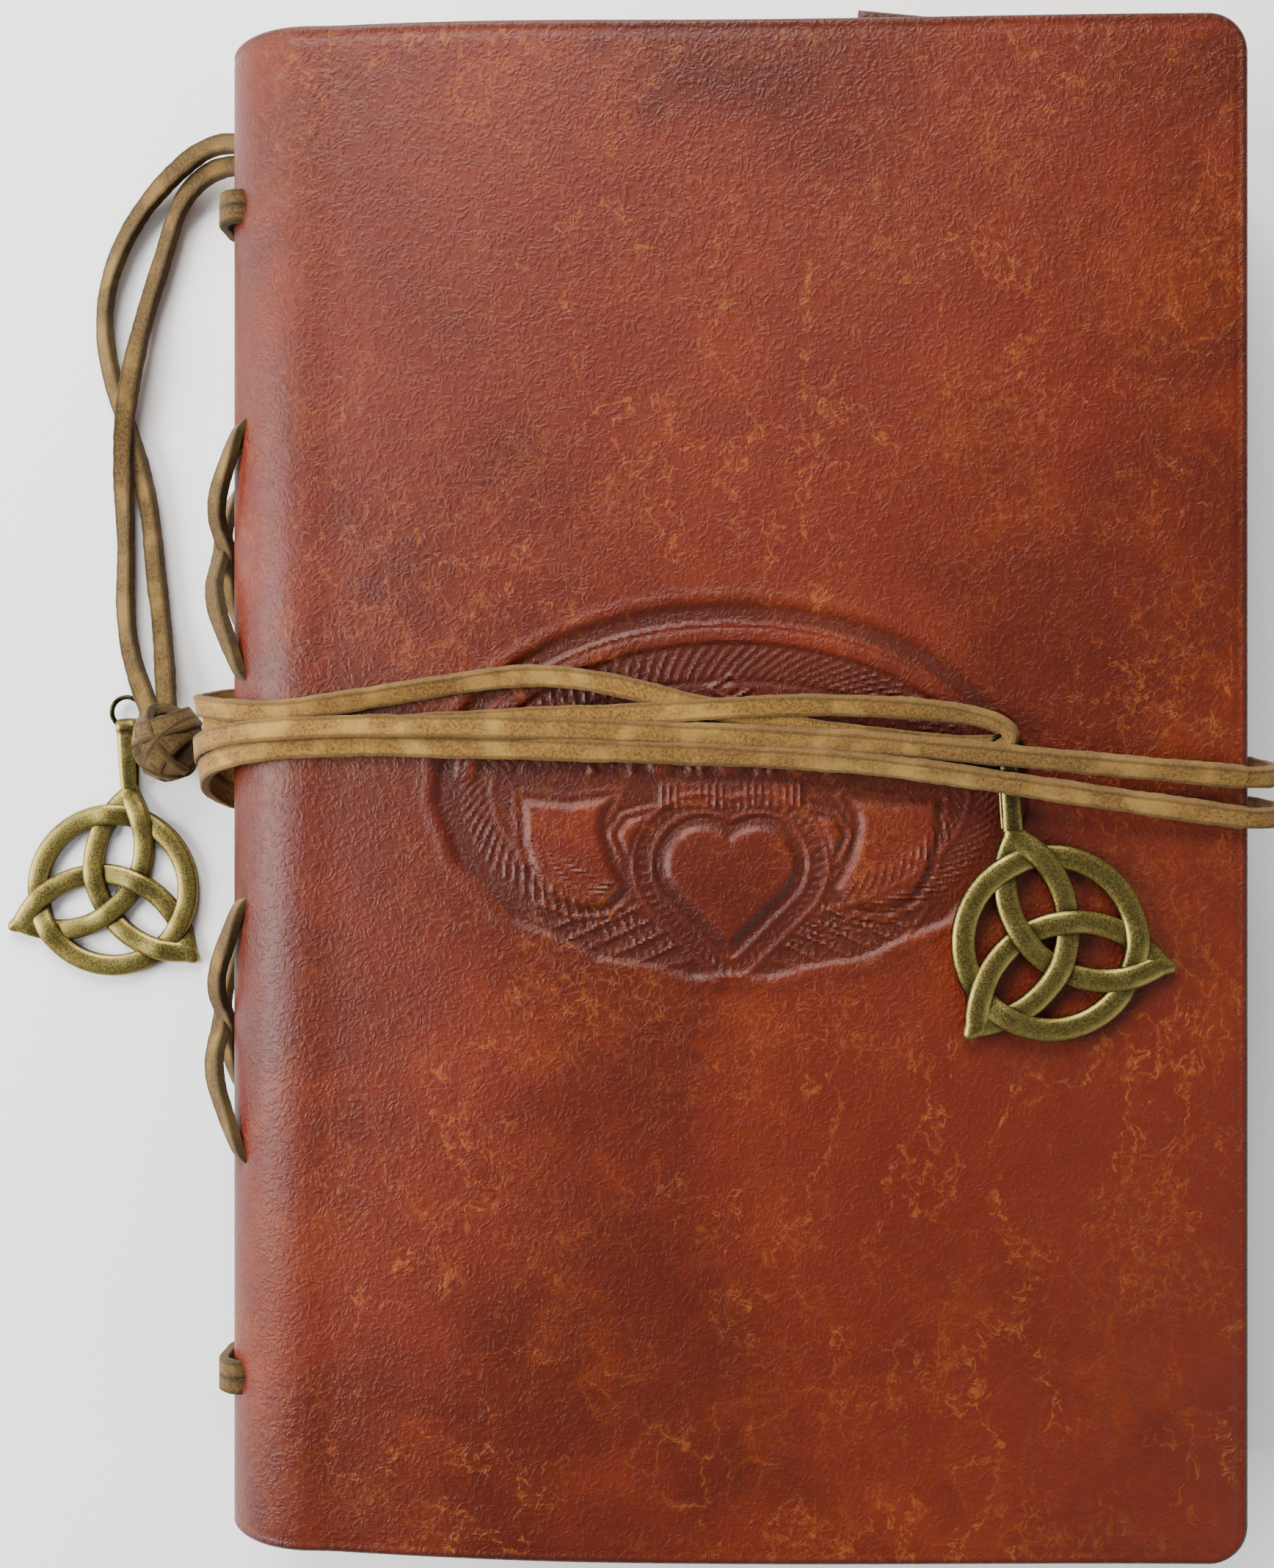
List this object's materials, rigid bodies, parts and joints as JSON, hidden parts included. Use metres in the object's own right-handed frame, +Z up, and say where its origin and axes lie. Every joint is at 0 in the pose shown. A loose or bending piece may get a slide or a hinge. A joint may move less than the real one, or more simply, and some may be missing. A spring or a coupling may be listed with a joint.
{
  "type": "leather notebook cover",
  "caption": "Refillable leather notebook cover with laced spine, tuck-in flap, suede wrap cord and bookmark cord with brass knotwork charms.",
  "frame": {"origin": "under the middle of the book, on the surface that it lies on", "axes": "+Z up through the front cover, +Y towards the head, the spine on the -X side"},
  "size_m": [0.1995, 0.233, 0.0356],
  "materials": {
    "cover_leather": "waxed pull-up leather, fine grain, satin",
    "lining_leather": "matt",
    "paper": "uncoated cream",
    "thread": "waxed linen",
    "suede_lace": "suede",
    "antique_brass": "antique, brushed high spots"
  },
  "bodies": {
    "book": {"back_cover": "cover_leather", "back_lining": "lining_leather", "spine": "cover_leather", "spine_lining": "lining_leather", "signature_1": "paper", "signature_2": "paper", "signature_3": "paper", "signature_4": "paper", "signature_5": "paper", "signature_6": "paper", "sewing_thread": "thread", "head_stitch": "suede_lace", "foot_stitch": "suede_lace", "upper_cross_lace": "suede_lace", "lower_cross_lace": "suede_lace", "wrap_anchor_turn": "suede_lace", "wrap_spine_turn": "suede_lace", "wrap_back_run_upper": "suede_lace", "wrap_back_run_lower": "suede_lace", "wrap_anchor_knot": "suede_lace", "bookmark_lace_left": "suede_lace", "bookmark_lace_right": "suede_lace", "bookmark_knot": "suede_lace", "bookmark_anchor_knot": "suede_lace", "ring_1": "antique_brass"},
    "front": {"front_cover": "cover_leather", "front_lining": "lining_leather", "wrap_front_run": "suede_lace", "wrap_fore_edge_turn": "suede_lace", "wrap_tail": "suede_lace", "ring_2": "antique_brass"},
    "fore_edge": {"fore_edge_wall": "cover_leather", "fore_edge_lining": "lining_leather"},
    "flap": {"flap": "cover_leather", "flap_lining": "lining_leather"},
    "pendant_1": {"charm_1": "antique_brass", "bail_1": "antique_brass"},
    "pendant_2": {"charm_2": "antique_brass", "bail_2": "antique_brass"}
  },
  "joints": [
    {"name": "cover_open", "type": "hinge", "parent": "book", "child": "front", "pos_m": [-0.06, 0, 0.0289], "axis": [0, -1, 0], "range_deg": [0, 180], "deforming": ["wrap_anchor_turn", "wrap_spine_turn", "wrap_fore_edge_turn"]},
    {"name": "fore_edge_fold", "type": "hinge", "parent": "book", "child": "fore_edge", "pos_m": [0.0762, 0, 0.0018], "axis": [0, 1, 0], "range_deg": [0, 90]},
    {"name": "flap_fold", "type": "hinge", "parent": "fore_edge", "child": "flap", "pos_m": [0.0768, 0, 0.0273], "axis": [0, 1, 0], "range_deg": [0, 90]},
    {"name": "bookmark_charm_lift", "type": "hinge", "parent": "book", "child": "pendant_1", "pos_m": [-0.0989, 0.0099, 0.00145], "axis": [-1, 0, 0], "range_deg": [0, 25]},
    {"name": "wrap_charm_swing", "type": "hinge", "parent": "front", "child": "pendant_2", "pos_m": [0.0414, 0.0052, 0.03255], "axis": [0, 0, 1], "range_deg": [-12, 12]}
  ],
  "couplings": [
    {"joint": "fore_edge_fold", "follows": "cover_open", "ratio": 0.5},
    {"joint": "flap_fold", "follows": "cover_open", "ratio": 0.5}
  ]
}
